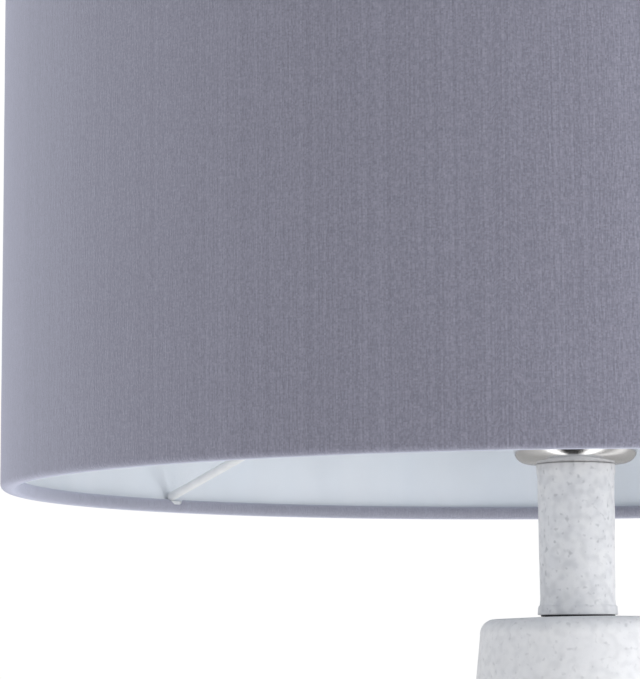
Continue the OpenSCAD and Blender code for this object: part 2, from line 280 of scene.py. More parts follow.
shoulder_z = top_z - top_fall - shoulder_r
shoulder = (outer_r(shoulder_z) - shoulder_r, shoulder_z)
foot_corner = (outer_r(foot_z) - foot_round, foot_z + foot_round)
ledge_z = plate_high.z
inside_z = top_z - top_wall
foot_curve = arc(foot_corner, foot_round, -90, -tilt, 8)
shoulder_curve = arc(shoulder, shoulder_r, -tilt, 88, 16)
outside = foot_curve[:-1] + split(foot_curve[-1], shoulder_curve[0], 90) + shoulder_curve
crown = split(outside[-1], (neck_foot_r, top_z), 6) + [(neck_foot_r, top_z), (rod_hole_r, top_z)]
corner_z = inside_z - inner_round
wall_foot = (outer_r(ledge_z + ledge_rise) - wall, ledge_z + ledge_rise)
inside = [(rod_hole_r, inside_z)] + arc((outer_r(corner_z) - wall - inner_round, corner_z), inner_round, 90, 0, 6)
inside += split(inside[-1], wall_foot, 30)[1:]
inside += [wall_foot, (recess_r - ledge_w, ledge_z + ledge_lip), (recess_r - ledge_w, ledge_z), (recess_r, ledge_z),
           (recess_r, foot_z)]
base_body = turned("base_body_cast", outside + crown[1:] + inside, 256, hand_made)
fit(base_body, "base", "ceramic", body_clay, "base_body")

# The cord's bush passes through a hole in the back of the foot, with a flat spot sunk round it.
bush_low, bush_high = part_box("cord_inlet_bush")
bush_z = (bush_low.z + bush_high.z) / 2
bush_flange_r = (bush_high.x - bush_low.x) / 2
bush_y = bush_low.y
flange_t = 1.4 * MM
flange_w = 1.9 * MM
bush_r = bush_flange_r - flange_w
past_wall = 6 * MM
snug = 0.03 * MM


def along_y(z):
    """Lays a piece turned round Z down along Y, at a height."""
    return Matrix.Translation((0, 0, z)) @ Matrix.Rotation(math.radians(-90), 4, "X")


def drill(piece, radius, y_from, y_to, z, chamfer=0):
    """Cuts a round hole along Y through a piece."""
    bit = turned("bit", [(0, y_from), (radius, y_from), (radius + chamfer, y_to), (0, y_to)], 64)
    bit.data.transform(along_y(z))
    cut = piece.modifiers.new("hole", "BOOLEAN")
    cut.operation = "DIFFERENCE"
    cut.solver = "EXACT"
    cut.object = bit
    bpy.context.view_layer.update()
    shaped = bpy.data.meshes.new_from_object(piece.evaluated_get(bpy.context.evaluated_depsgraph_get()))
    piece.modifiers.clear()
    old, piece.data = piece.data, shaped
    bpy.data.meshes.remove(old)
    bpy.data.objects.remove(bit)


drill(base_body, bush_r + snug, bush_y - 3 * MM, bush_high.y + past_wall, bush_z)
drill(base_body, bush_flange_r + 0.25 * MM, bush_high.y - flange_t, bush_high.y + past_wall, bush_z, 0.6 * MM)

# ---------------------------------------------------------------------------
# Neck: a slim cast tube in the same speckled stoneware, with a flat lip at the top
# and a soft bead at the foot. The rod inside clamps it on the body, over a dark seal.
# ---------------------------------------------------------------------------
neck_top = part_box("neck")[1].z
lip_r = 12.1 * MM
lip_h = 3.1 * MM
shaft_top_r = 11.75 * MM
shaft_foot_r = 11.4 * MM
bead_r = neck_foot_r
bead_h = 3.0 * MM
bead_edge = 0.9 * MM
foot_edge = 0.3 * MM

lip_edge = 0.45 * MM
bead_z = neck_low + bead_h
lip_z = neck_top - lip_h
shaft_foot = (shaft_foot_r, bead_z + 1.6 * MM)
shaft_top = (shaft_top_r, lip_z - 1.2 * MM)
neck_outline = (arc((bead_r - foot_edge, neck_low + foot_edge), foot_edge, -90, 0, 4)
                + arc((bead_r - foot_edge / 2 - bead_edge, bead_z - bead_edge), bead_edge, 0, 60, 5)
                + split((shaft_foot_r + 0.12 * MM, bead_z + 0.35 * MM), shaft_foot, 3)
                + split(shaft_foot, shaft_top, 40)
                + [shaft_top, (shaft_top_r + 0.1 * MM, lip_z - 0.3 * MM), (lip_r - 0.05 * MM, lip_z + 0.3 * MM),
                   (lip_r, lip_z + 0.8 * MM)]
                + arc((lip_r - lip_edge, neck_top - lip_edge), lip_edge, 0, 90, 4)
                + [(rod_hole_r, neck_top), (rod_hole_r, neck_low)])


def neck_unevenness(r, z, angle):
    """The neck is cast thin, so its outside is out of true by a tenth of a mm or two."""
    if r < lip_r - 1.5 * MM:
        return r, z
    x, y = r * math.cos(angle), r * math.sin(angle)
    slow = noise.noise(Vector((x, y, z)) / 0.012 + Vector((11, 2, 9)))
    quick = noise.noise(Vector((x, y, z)) / 0.0035 + Vector((5, 1, 8)))
    return r + (0.16 * slow + 0.07 * quick) * MM, z


neck_clay = speckled_clay("more_speckled_clay", 1.0)
fit(turned("neck_cast", neck_outline, 192, neck_unevenness), "base", "ceramic", neck_clay, "neck")

seal_low, seal_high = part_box("neck_seal")
seal_r = seal_high.x


def clouded(name, below, above, cloud, roughness, skin=None, skin_depth=0.0, stretch=(1, 1, 1), **sockets):
    """A finish that drifts between two colours. cloud and skin are sizes in mm with the noise's low and high."""
    made, nodes, links, shader = material(name, below, roughness, **sockets)
    where = place(nodes, links, stretch)
    drift = speckle_field(nodes, links, where, *cloud)
    links.new(tint(nodes, links, drift, below, above), shader.inputs["Base Color"])
    if skin_depth:
        relief(nodes, links, shader, speckle_field(nodes, links, where, *skin) if skin else drift, skin_depth)
    return made


# Soft black rubber with a fine matt skin.
rubber = clouded("black_rubber", (0.016, 0.016, 0.018), (0.05, 0.05, 0.055), (2.5, 0.3, 0.75), 0.6,
                 (0.3, 0.2, 0.8), 0.02)
seal_h = seal_high.z - seal_low.z
seal_outline = ([(rod_hole_r, seal_low.z)] + arc((seal_r - seal_h / 2, seal_low.z + seal_h / 2), seal_h / 2, -90, 90, 8)
                + [(rod_hole_r, seal_high.z)])
fit(turned("neck_seal_ring", seal_outline, 128), "base", "rubber", rubber, "neck_seal")

# ---------------------------------------------------------------------------
# Cord inlet bush: a rubber bush pushed into the back of the foot, with a rounded
# flange outside and bevelled inside. The mains cord goes in through it.
# ---------------------------------------------------------------------------
inlet_r = 3.25 * MM
flange_edge = 0.7 * MM
inlet_edge = 0.8 * MM
flange_y = bush_high.y - flange_t
bush_outline = ([(inlet_r, bush_y + 0.5 * MM), (inlet_r + 0.4 * MM, bush_y), (bush_r - 0.4 * MM, bush_y),
                 (bush_r, bush_y + 0.6 * MM), (bush_r, flange_y), (bush_flange_r - 0.1 * MM, flange_y)]
                + arc((bush_flange_r - flange_edge, bush_high.y - flange_edge), flange_edge, 0, 90, 6)
                + arc((inlet_r + inlet_edge, bush_high.y - inlet_edge), inlet_edge, 90, 180, 6))
bush = turned("cord_inlet_rubber", bush_outline, 96)
bush.data.transform(along_y(bush_z))
fit(bush, "base", "rubber", rubber, "cord_inlet_bush")

# ---------------------------------------------------------------------------
# Felt pad: a disc of pressed grey felt glued under the foot. It closes the recess
# with the plate and the nut, and its cut edge is a little ragged.
# ---------------------------------------------------------------------------


def grey_felt():
    """Pressed felt: matt, with tangled light and dark fibres."""
    made, nodes, links, shader = material("grey_felt", (0.12, 0.12, 0.13), 0.95, Sheen_Weight=0.4, Sheen_Roughness=0.6)
    fibres = speckle_field(nodes, links, place(nodes, links, (1, 3.5, 1)), 0.9, 0.3, 0.75, 6.0)
    crossing = speckle_field(nodes, links, place(nodes, links, (3.0, 1, 1)), 0.8, 0.35, 0.7, 6.0)
    layered(nodes, links, shader, tint(nodes, links, fibres, (0.07, 0.07, 0.08), (0.19, 0.19, 0.20)),
            (crossing, (0.24, 0.24, 0.25), 0.5))
    under = relief(nodes, links, shader, fibres, 0.35)
    relief(nodes, links, shader, crossing, 0.25, under)
    return made


def ragged(r, z, angle):
    """The knife's path round the felt, with loose fibres."""
    if r < felt_r - 1 * MM:
        return r, z
    fray = noise.noise(Vector((math.cos(angle), math.sin(angle), z * 300)) * 34)
    return r - (0.12 + 0.16 * fray) * MM, z


felt_low, felt_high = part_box("felt_pad")
felt_r = felt_high.x
under_edge = 0.5 * MM
upper_edge = 0.3 * MM
felt_outline = ([(0, felt_low.z)] + split((felt_r * 0.3, felt_low.z), (felt_r - under_edge, felt_low.z), 4)
                + arc((felt_r - under_edge, felt_low.z + under_edge), under_edge, -90, 0, 4)
                + arc((felt_r - upper_edge, felt_high.z - upper_edge), upper_edge, 0, 90, 3) + [(0, felt_high.z)])
fit(turned("felt_disc", felt_outline, 360, ragged), "base", "felt", grey_felt(), "felt_pad")

# ---------------------------------------------------------------------------
# Plate, washers, nut and rod: plated steel, cut and pressed. The nut pulls the plate
# up against a ledge in the foot, and the rod holds the neck and lampholder down.
# ---------------------------------------------------------------------------


def metal(name, colour, roughness, grain=(1, 1, 1), wear=0.2):
    """Bare or plated metal with fine scratches along its grain and a faint cloud of tarnish."""
    made, nodes, links, shader = material(name, colour, roughness, Metallic=1.0)
    cloud = speckle_field(nodes, links, place(nodes, links), 9, 0.35, 0.75, 3.0)
    scratch = speckle_field(nodes, links, place(nodes, links, grain), 0.5, 0.3, 0.8, 4.0)
    darker = [c * (1 - wear) for c in colour]
    links.new(tint(nodes, links, cloud, colour, darker), shader.inputs["Base Color"])
    dulled = spread_out(nodes, links, scratch, 0, 1, roughness * 0.75, roughness * 1.35, "LINEAR")
    links.new(dulled, shader.inputs["Roughness"])
    relief(nodes, links, shader, scratch, 0.006)
    return made


def dress(node_name, finish):
    """Gives a CAD piece that stays as it is a better finish."""
    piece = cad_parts[node_name]
    piece.data.materials.clear()
    piece.data.materials.append(finish)


zinc = metal("zinc_plate", (0.62, 0.62, 0.64), 0.32, (1, 1, 6), 0.25)
for name in ("base_plate", "flat_washer", "spring_washer", "base_nut", "cap_grub_screw"):
    dress(name, zinc)

rod_low, rod_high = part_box("threaded_rod")
rod_r = rod_high.x
rod_bore = rod_r - 1.25 * MM
thread_pitch = 1.0 * MM
thread_depth = 0.5 * MM


def thread_wave(z, angle, pitch):
    """How deep a right-hand thread is at one place, from 0 on its crest to 1 in its root."""
    return 0.5 - 0.5 * math.cos(2 * math.pi * z / pitch - angle)


def rod_thread(r, z, angle):
    """The rod's cut thread: the crests stay, and the roots go in by its depth."""
    if r < rod_bore + 0.6 * MM:
        return r, z
    return r - thread_depth * thread_wave(z, angle, thread_pitch), z


rod_rows = int((rod_high.z - rod_low.z) / thread_pitch * 5)
rod_outline = ([(rod_bore, rod_low.z)] + split((rod_r, rod_low.z), (rod_r, rod_high.z), rod_rows)
               + [(rod_r, rod_high.z), (rod_bore, rod_high.z)])
rod = turned("threaded_rod_cut", rod_outline, 32, rod_thread)
fit(rod, "base", "steel", zinc, "threaded_rod")

# ---------------------------------------------------------------------------
# Lampholder cap: a cup drawn from sheet metal and polished, round at its lower edge.
# It screws down on the rod, and a grub screw in its boss keeps it from turning.
# ---------------------------------------------------------------------------
chrome = metal("polished_chrome", (0.73, 0.72, 0.715), 0.16, (1, 1, 9), 0.06)
cap_low, cap_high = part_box("holder_cap")
cap_r = cap_high.x
sheet = 0.8 * MM
cap_edge_r = 4.4 * MM
cap_slope = 5
boss_r = 8 * MM
boss_foot = cap_low.z + sheet
boss_top = boss_foot + 8 * MM
joined = 0.02 * MM
rod_fit_r = rod_r + joined
rim_roll = 0.5 * MM
slope_from = 12.05 * MM
slope_ease = 0.6 * MM
steep = math.radians(cap_slope)
slope_l = (cap_r - cap_edge_r - slope_from + cap_edge_r * math.sin(steep)) / math.cos(steep)
cap_edge = (cap_r - cap_edge_r, cap_low.z + slope_l * math.sin(steep) + cap_edge_r * math.cos(steep))
cap_curve = arc(cap_edge, cap_edge_r, cap_slope - 90, 0, 18)
cap_outline = ([(rod_fit_r, cap_low.z), (slope_from - slope_ease, cap_low.z), (slope_from, cap_low.z + 0.03 * MM)]
               + split((slope_from + slope_ease, cap_low.z + slope_ease * math.tan(steep)), cap_curve[0], 3) + cap_curve
               + arc((cap_r - rim_roll, cap_high.z - rim_roll), rim_roll, 0, 180, 6)[:-1]
               + arc(cap_edge, cap_edge_r - sheet, 0, cap_slope - 90, 10)
               + [(slope_from, boss_foot), (boss_r, boss_foot), (boss_r, boss_top), (rod_fit_r, boss_top)])
fit(turned("holder_cap_drawn", cap_outline, 192), "base", "chrome", chrome, "holder_cap")

# ---------------------------------------------------------------------------
# Lampholder shell: a pressed metal sleeve with a coarse rolled thread all the way up,
# which the two shade rings run on. It plugs into the cap and turns in to a lip.
# ---------------------------------------------------------------------------
shell_low, shell_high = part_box("holder_shell")
shell_r = shell_high.x
cap_in_r = cap_r - sheet
plug_r = cap_in_r - 0.1 * MM
mouth_r = 14.65 * MM
mouth_t = 1.4 * MM
shell_edge = 0.6 * MM
mouth_edge = 0.5 * MM
shell_pitch = 2.5 * MM
shell_thread_depth = 0.8 * MM
shell_wall = 1.6 * MM
shell_start = cap_high.z


def shell_thread(r, z, angle):
    """The rolled thread, which fades out at both ends of the shell."""
    if r < shell_r - 0.05 * MM or z <= shell_start + 0.01 * MM:
        return r, z
    fade = min(1, max(0, (z - shell_start) / shell_pitch), max(0, (shell_high.z - z) / shell_pitch))
    return r - shell_thread_depth * fade * thread_wave(z, angle, shell_pitch), z


shell_rows = int((shell_high.z - shell_start) / shell_pitch * 10)
shell_outline = ([(plug_r - sheet, shell_low.z), (plug_r, shell_low.z), (plug_r, shell_start)]
                 + split((shell_r, shell_start), (shell_r, shell_high.z - shell_edge), shell_rows)
                 + arc((shell_r - shell_edge, shell_high.z - shell_edge), shell_edge, 0, 90, 4)
                 + arc((mouth_r + mouth_edge, shell_high.z - mouth_edge), mouth_edge, 90, 180, 4)
                 + [(mouth_r, shell_high.z - mouth_t), (shell_r - shell_wall, shell_high.z - mouth_t),
                    (shell_r - shell_wall, shell_start + mouth_t), (plug_r - sheet, shell_start + mouth_t)])
fit(turned("holder_shell_rolled", shell_outline, 128, shell_thread), "base", "chrome", chrome, "holder_shell")

# ---------------------------------------------------------------------------
# Inside of the lampholder: glazed porcelain carries a brass screw shell, two terminal
# screws and a sprung tongue, which presses on the middle of the bulb's cap.
# ---------------------------------------------------------------------------
# White glaze over fine clay, with faint pits.
glazed = clouded("porcelain", (0.86, 0.85, 0.81), (0.78, 0.77, 0.73), (6, 0.3, 0.75), 0.18, (1.2, 0.3, 0.8), 0.03,
                 Coat_Weight=0.3, Coat_Roughness=0.1)
brass = metal("brass", (0.72, 0.53, 0.24), 0.28, (1, 1, 5), 0.3)
for name, finish in (("socket_insert", glazed), ("socket_sleeve", glazed), ("terminal_screws", brass),
                     ("centre_contact", brass)):
    dress(name, finish)

screw_low, screw_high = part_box("screw_shell")
screw_wall = 0.5 * MM
screw_in_r = screw_high.x - screw_wall
bulb_pitch = 3.629 * MM
screw_depth = 0.3 * MM


def screw_thread(r, z, angle):
    """The wave of the thread inside the socket; both faces of the sheet follow it."""
    return (r + screw_depth * thread_wave(z, angle, bulb_pitch), z) if r < screw_in_r + 0.1 * MM else (r, z)


screw_rows = int((screw_high.z - screw_low.z) / bulb_pitch * 10)
screw_outline = ([(screw_in_r + screw_wall, screw_low.z), (screw_in_r + screw_wall, screw_high.z)]
                 + split((screw_in_r, screw_high.z), (screw_in_r, screw_low.z), screw_rows)
                 + [(screw_in_r, screw_low.z)])
fit(turned("screw_shell_rolled", screw_outline, 96, screw_thread), "base", "brass", brass, "screw_shell")

# ---------------------------------------------------------------------------
# Shade rings: two plated rings with an inner thread and finger grips. The lower one
# is the height stop that the shade sits on, and the upper one locks the shade to it.
# ---------------------------------------------------------------------------
ring_chamfer = 0.9 * MM
ring_thread_depth = 0.5 * MM
ring_thread_fade = 0.6 * MM
ring_bore_r = shell_r + 0.1 * MM
grip_r = 2.0 * MM
grip_out = 1.3 * MM


def grip_ring(name, cad_node, outer, grips, around):
    """A threaded ring, so far out and with so many scallops cut round its rim for the fingers."""
    low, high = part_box(cad_node)[0].z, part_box(cad_node)[1].z

    def cut(r, z, angle):
        """The thread in the bore, which fades out at both faces, and the scallops on the rim."""
        if r < ring_bore_r + 0.05 * MM:
            fade = min(1, max(0, (z - low) / ring_thread_fade), max(0, (high - z) / ring_thread_fade))
            return r + ring_thread_depth * thread_wave(z, angle, shell_pitch) * fade, z
        if r < ring_bore_r + 1.5 * MM:
            return r, z
        turn = (angle * grips / (2 * math.pi) + 0.5) % 1 - 0.5
        across = (outer + grip_out) * math.sin(turn * 2 * math.pi / grips)
        if abs(across) < grip_r:
            dip = outer + grip_out - math.sqrt(grip_r ** 2 - across ** 2)
            r = min(r, dip - (outer - r) * 0.75)
        return r, z

    face_r = outer - ring_chamfer - 1.2 * MM
    rows = int((high - low) / (0.2 * MM))
    outline = ([(ring_bore_r + 0.1 * MM, low), (face_r, low)]
               + arc((outer - ring_chamfer, low + ring_chamfer), ring_chamfer, -90, 0, 5)
               + arc((outer - ring_chamfer, high - ring_chamfer), ring_chamfer, 0, 90, 5)
               + [(face_r, high), (ring_bore_r + 0.1 * MM, high)]
               + split((ring_bore_r, high - 0.1 * MM), (ring_bore_r, low + 0.1 * MM), rows)
               + [(ring_bore_r, low + 0.1 * MM)])
    return turned(name, outline, around, cut)


fit(grip_ring("seat_ring_cut", "seat_ring", 24 * MM, 12, 432), "seat_ring", "chrome", chrome, "seat_ring")
fit(grip_ring("lock_ring_cut", "lock_ring", 27 * MM, 18, 432), "lock_ring", "chrome", chrome, "lock_ring")

# ---------------------------------------------------------------------------
# Shade frame: steel wire rings, three spokes and a flat washer-like ring for the
# holder, welded together and coated white. The spokes rise inward from the lower rim.
# ---------------------------------------------------------------------------
# White powder coat: satin, with a fine orange-peel skin.
coat = clouded("white_powder_coat", (0.87, 0.88, 0.89), (0.82, 0.83, 0.845), (5, 0.3, 0.75), 0.42,
               (0.7, 0.25, 0.75), 0.03)
ring_low, ring_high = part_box("lower_rim_ring")
rim_wire_r = (ring_high.z - ring_low.z) / 2
wire_ring_r = ring_high.x - rim_wire_r
for name, cad_node in (("lower_rim_wire", "lower_rim_ring"), ("upper_rim_wire", "upper_rim_ring")):
    ring_z = (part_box(cad_node)[0].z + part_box(cad_node)[1].z) / 2
    rim_wire = turned(name, arc((wire_ring_r, ring_z), rim_wire_r, 0, 360, 20)[:-1], 360)
    fit(rim_wire, "shade", "white_wire", coat, cad_node)

fitter_low, fitter_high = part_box("fitter_ring")
fitter_out_r = fitter_high.x
fitter_w = 7.5 * MM
fitter_in_r = fitter_out_r - fitter_w
edge = 0.35 * MM
corners = [(fitter_out_r - edge, fitter_low.z + edge, -90), (fitter_out_r - edge, fitter_high.z - edge, 0),
           (fitter_in_r + edge, fitter_high.z - edge, 90), (fitter_in_r + edge, fitter_low.z + edge, 180)]
fitter_outline = [p for r, z, start in corners for p in arc((r, z), edge, start, start + 90, 3)]
fit(turned("fitter_ring_pressed", fitter_outline, 192), "shade", "white_wire", coat, "fitter_ring")

spoke_r = 1.5 * MM
spoke_count = 3
first_spoke = math.radians(145)
spoke_turns = [first_spoke + 2 * math.pi * i / spoke_count for i in range(spoke_count)]
weld_swell = 0.0875 * MM
weld_length = 1.6 * MM


def spoke_line():
    """The spoke's middle, as (r, z): on top of the rim wire, up, then flat under the fitter."""
    flat_z = fitter_low.z - spoke_r - snug
    bend = (fitter_out_r + 0.6 * MM, flat_z)
    wire_z = (ring_low.z + ring_high.z) / 2
    reach = rim_wire_r + spoke_r + snug
    slope = math.atan2(bend[1] - wire_z - reach, wire_ring_r - bend[0])
    start = (wire_ring_r + reach * math.sin(slope), wire_z + reach * math.cos(slope))
    bend_start = (bend[0] + 1.4 * MM, bend[1] - 1.4 * MM * math.tan(slope))
    return split(start, bend_start, 60) + [
        bend_start, (bend[0] + 0.6 * MM, bend[1] - 0.12 * MM), (bend[0] - 0.4 * MM, flat_z),
        (bend[0] - 1.6 * MM, flat_z), (fitter_out_r - 2.6 * MM, flat_z)]


def wire(points, faces, line, turn, radius_at, sides=20):
    """Adds a round wire along a line of (r, z) in the upright plane at that turn about Z, with round ends."""
    out, along = Vector((math.cos(turn), math.sin(turn), 0)), Vector((-math.sin(turn), math.cos(turn), 0))
    middles = [out * r + Vector((0, 0, z)) for r, z in line]
    lengths = [0]
    for a, b in zip(middles, middles[1:]):
        lengths.append(lengths[-1] + (b - a).length)
    rows = []
    for i, middle in enumerate(middles):
        ahead = (middles[min(i + 1, len(middles) - 1)] - middles[max(i - 1, 0)]).normalized()
        up = ahead.cross(along).normalized()
        radius = radius_at(lengths[i], lengths[-1])
        round_end = [(0.55, 0.28), (0.88, 0.12), (1, 0)]
        if i == 0:
            steps = [(shrink, -shift) for shrink, shift in round_end]
        else:
            steps = round_end[::-1] if i == len(middles) - 1 else [(1, 0)]
        for shrink, shift in steps:
            rows.append(range(len(points), len(points) + sides))
            for k in range(sides):
                a = 2 * math.pi * k / sides
                around = (up * math.sin(a) + along * math.cos(a)) * radius * shrink
                points.append(tuple(middle + ahead * shift * spoke_r + around))
    for low_row, high_row in zip(rows, rows[1:]):
        for k in range(sides):
            n = (k + 1) % sides
            faces.append((low_row[k], low_row[n], high_row[n], high_row[k]))
    faces.append(tuple(reversed(rows[0])))
    faces.append(tuple(rows[-1]))


def weld(s, whole):
    """The spoke's radius, swollen a little where it is welded at its ends."""
    return spoke_r + weld_swell * (math.exp(-(s / weld_length) ** 2) + math.exp(-((whole - s) / weld_length) ** 2))


points, faces = [], []
for turn in spoke_turns:
    wire(points, faces, spoke_line(), turn, weld)
fit(mesh_piece("spokes_welded", points, faces, 40), "shade", "white_wire", coat, "fitter_spokes")

# ---------------------------------------------------------------------------
# Shade lining: a sheet of stiff white film rolled into a drum and lapped behind, to the right.
# The cloth is laminated to its outside, and its cut edges stop short of the rims.
# ---------------------------------------------------------------------------


def strip(name, line_at, thickness, start, sweep, columns, around_r):
    """A band rolled round Z. line_at(by) gives its middle as (r, z). Its UVs are its place on the flat, in metres."""
    points, flat = [], []
    rows = len(line_at(0.0))
    for i in range(columns + 1):
        by = sweep * i / columns
        line = line_at(by)
        c, s = math.cos(start + by), math.sin(start + by)
        for side in (0.5, -0.5):
            v = 0.0
            for j, (r, z) in enumerate(line):
                a, b = line[max(j - 1, 0)], line[min(j + 1, rows - 1)]
                along = Vector((b[0] - a[0], b[1] - a[1])).normalized()
                r2, z2 = r + along.y * thickness * side, z - along.x * thickness * side
                if j:
                    v += math.dist(line[j - 1], line[j])
                points.append((r2 * c, r2 * s, z2))
                flat.append((by * around_r, v))
    per = 2 * rows
    faces = []
    for i in range(columns):
        a, b = i * per, (i + 1) * per
        for j in range(rows - 1):
            faces.append((a + j, b + j, b + j + 1, a + j + 1))
            faces.append((a + rows + j, a + rows + j + 1, b + rows + j + 1, b + rows + j))
        faces.append((a, a + rows, b + rows, b))
        faces.append((a + rows - 1, b + rows - 1, b + per - 1, a + per - 1))
    for j in range(rows - 1):
        last = columns * per
        faces.append((j, j + 1, rows + j + 1, rows + j))
        faces.append((last + j, last + rows + j, last + rows + j + 1, last + j + 1))
    piece = mesh_piece(name, points, faces, 50)
    layer = piece.data.uv_layers.new(name="flat_cloth")
    for loop in piece.data.loops:
        layer.data[loop.index].uv = flat[loop.vertex_index]
    return piece


def flat_place(nodes, links, across, along):
    """Coordinates on the flat cloth in mm, divided by the given sizes round the drum and up it."""
    where = node(nodes, "ShaderNodeUVMap", uv_map="flat_cloth")
    scale = node(nodes, "ShaderNodeMapping", scale=(1000 / across, 1000 / along, 1))
    links.new(where.outputs["UV"], scale.inputs["Vector"])
    return scale.outputs["Vector"]


def white_film():
    """Cool white styrene film: satin, with faint rolling marks up the drum."""
    made, nodes, links, shader = material("white_film", (0.82, 0.86, 0.90), 0.38, Specular_IOR_Level=0.4)
    bands = speckle_field(nodes, links, flat_place(nodes, links, 26, 900), 1, 0.3, 0.7)
    cloud = speckle_field(nodes, links, place(nodes, links), 30, 0.3, 0.7)
    fine = speckle_field(nodes, links, flat_place(nodes, links, 0.9, 3), 1, 0.3, 0.7)
    layered(nodes, links, shader, tint(nodes, links, bands, (0.79, 0.84, 0.905), (0.835, 0.875, 0.93)),
            (cloud, (0.72, 0.76, 0.805), 0.4))
    under = relief(nodes, links, shader, bands, 0.25)
    relief(nodes, links, shader, fine, 0.012, under)
    return made


shade_low, shade_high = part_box("shade_cover")
shade_r = shade_high.x
cloth_t = 0.5 * MM
film_t = 0.33 * MM
film_gap = 1.7 * MM
lap = 12 * MM
seam_turn = math.radians(45)
film_r = shade_r - cloth_t - snug - film_t / 2


def film_line(by):
    """The film's middle. Its last stretch steps in by its own thickness, over its beginning."""
    over = (by * shade_r - 2 * math.pi * shade_r) / MM
    step = min(1, max(0, (over + 3) / 3)) * (film_t + joined)
    foot, top = (film_r - step, shade_low.z + film_gap), (film_r - step, shade_high.z - film_gap)
    return split(foot, top, 24) + [top]


film_sweep = 2 * math.pi + lap / shade_r
lining = strip("shade_lining_film", film_line, film_t, seam_turn, film_sweep, 400, shade_r)
fit(lining, "shade", "lining", white_film(), "shade_lining")

# ---------------------------------------------------------------------------
# Shade cover: a strip of fine plain-woven grey cloth, laminated round the drum, lapped
# at the seam, and turned over both rim wires with its edges tucked in behind them.
# ---------------------------------------------------------------------------


warp_pitch = 0.53
weft_pitch = 0.42


def painted_hem_light(nodes, links):
    """1 on the cloth turned in over the lower rim wire. There the colour is lightened as painted light, standing in for
    the glow that the white lining and the floor throw on that band.
    """
    where = node(nodes, "ShaderNodeUVMap", uv_map="flat_cloth")
    split_up = nodes.new("ShaderNodeSeparateXYZ")
    links.new(where.outputs["UV"], split_up.inputs[0])
    return spread_out(nodes, links, split_up.outputs["Y"], 7 * MM, 5 * MM, way="LINEAR")


def grey_cloth():
    """Fine plain weave. Each upright thread has its own tone, which also changes along it, over a faint level weft. The
    turned-in lower hem is painted lighter, as painted light.
    """
    made, nodes, links, shader = material("grey_cloth", (0.2, 0.2, 0.25), 0.85, Specular_IOR_Level=0.25,
                                          Sheen_Weight=0.9, Sheen_Roughness=0.60)
    shader.inputs["Sheen Tint"].default_value = (0.80, 0.83, 1.0, 1)
    crossing = node(nodes, "ShaderNodeVectorMath", operation="FLOOR")
    links.new(flat_place(nodes, links, warp_pitch, weft_pitch), crossing.inputs[0])
    column = nodes.new("ShaderNodeSeparateXYZ")
    links.new(crossing.outputs[0], column.inputs[0])
    by_thread = node(nodes, "ShaderNodeTexWhiteNoise", noise_dimensions="1D")
    links.new(column.outputs[0], by_thread.inputs["W"])
    by_crossing = node(nodes, "ShaderNodeTexWhiteNoise", noise_dimensions="2D")
    links.new(crossing.outputs[0], by_crossing.inputs["Vector"])
    streaks = speckle_field(nodes, links, flat_place(nodes, links, 0.45, 3.2), 1, 0.3, 0.7, 1.0)
    slubs = speckle_field(nodes, links, flat_place(nodes, links, 0.45, 1.0), 1, 0.3, 0.7, 1.0)
    weft = speckle_field(nodes, links, flat_place(nodes, links, 6, 0.55), 1, 0.3, 0.7, 1.0)
    cloud = speckle_field(nodes, links, flat_place(nodes, links, 40, 70), 1, 0.3, 0.7, 1.0)
    dark_thread = (0.09, 0.088, 0.120)
    layered(nodes, links, shader, tint(nodes, links, cloud, (0.207, 0.204, 0.262), (0.219, 0.217, 0.278)),
            (by_thread.outputs["Value"], (0.36, 0.36, 0.45), 0.34), (streaks, dark_thread, 0.34),
            (slubs, (0.38, 0.38, 0.46), 0.25), (by_crossing.outputs["Value"], dark_thread, 0.36),
            # The last layer is painted light: it lightens the turned-in hem band for the glow from the lining and the
            # floor.
            (weft, (0.13, 0.128, 0.165), 0.12), (painted_hem_light(nodes, links), (0.42, 0.43, 0.49), 0.34))
    under = relief(nodes, links, shader, streaks, 0.04)
    relief(nodes, links, shader, by_crossing.outputs["Value"], 0.02, under)
    return made


hem_corner = 1.5 * MM
hem_gap = 0.1 * MM
hem_r = rim_wire_r + hem_gap + cloth_t / 2
wire_up = (ring_low.z + ring_high.z) / 2 - shade_low.z
hem_steps = 14
tuck_end = 134
tuck_rise = 26
slit_end = 172
slit_half = 2.0 * MM
slit_ease = 1.2 * MM


def puckers(turn):
    """How far the turned edge stands off the wire, in mm: small slow puckers where the cloth was glued over."""
    here = Vector((math.cos(turn) * 26, math.sin(turn) * 26, 0))
    return 0.10 * noise.noise(here) + 0.05 * noise.noise(here * 3.1)


def hem(turn, slit):
    """Half of the cloth's middle line: from its tucked edge, which reaches less far behind, over the wire, out to
    the wall. z is from the rim. At a spoke the edge is slit and pushed up, to let the spoke in."""
    end = tuck_end - tuck_rise * max(0, math.sin(turn))
    if slit:
        near = min(abs(math.remainder(turn - t, 2 * math.pi)) for t in spoke_turns) * wire_ring_r
        opened = min(1, max(0, 1 - (near - slit_half) / slit_ease))
        end = end + (slit_end - end) * (opened * opened * (3 - 2 * opened))
    loose = 1.2 * max(0, puckers(turn)) * MM
    tucked = [(r - loose * math.sin(math.pi * i / hem_steps), z)
              for i, (r, z) in enumerate(arc((wire_ring_r, wire_up), hem_r, end, 270, hem_steps))]
    low = wire_up - hem_r
    wall_r = shade_r - cloth_t / 2
    return tucked + split((wire_ring_r + 0.4 * MM, low), (wall_r - hem_corner, low), 2) + arc(
        (wall_r - hem_corner, low + hem_corner), hem_corner, -90, 0, 8)


